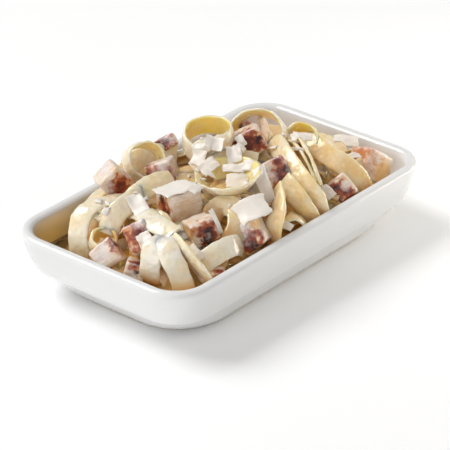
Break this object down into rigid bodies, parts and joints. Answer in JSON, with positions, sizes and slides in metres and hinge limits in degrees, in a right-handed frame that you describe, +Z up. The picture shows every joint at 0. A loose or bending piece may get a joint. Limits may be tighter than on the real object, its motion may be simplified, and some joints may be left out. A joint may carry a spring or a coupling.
{
  "type": "fettuccine alfredo in a dish",
  "caption": "Heap of creamy fettuccine with diced grilled chicken and parmesan shavings in a small rectangular white dish with a rolled rim and a raised foot.",
  "frame": {"origin": "centre of the dish's footprint, on the surface that the foot ring stands on", "axes": "+X along the dish's long side, +Y along its short side, +Z up"},
  "size_m": [0.17, 0.102, 0.0601],
  "materials": {
    "dish_glaze": "white glazed porcelain, glossy",
    "pasta": "cooked egg pasta wet with cream sauce",
    "chicken": "grilled chicken breast, browned and charred faces",
    "parmesan": "thin shaved hard cheese, slightly waxy"
  },
  "bodies": {
    "root": {"dish": "dish_glaze", "pasta": "pasta", "chicken_01": "chicken", "chicken_02": "chicken", "chicken_03": "chicken", "chicken_04": "chicken", "chicken_05": "chicken", "chicken_06": "chicken", "chicken_07": "chicken", "chicken_08": "chicken", "chicken_09": "chicken", "chicken_10": "chicken", "chicken_11": "chicken", "chicken_12": "chicken", "chicken_13": "chicken", "chicken_14": "chicken", "chicken_15": "chicken", "chicken_16": "chicken", "shaving_01": "parmesan", "shaving_02": "parmesan", "shaving_03": "parmesan", "shaving_04": "parmesan", "shaving_05": "parmesan", "shaving_06": "parmesan", "shaving_07": "parmesan", "shaving_08": "parmesan", "shaving_09": "parmesan", "shaving_10": "parmesan", "shaving_11": "parmesan", "shaving_12": "parmesan", "shaving_13": "parmesan", "shaving_14": "parmesan", "shaving_15": "parmesan", "shaving_16": "parmesan", "shaving_17": "parmesan"}
  },
  "joints": []
}
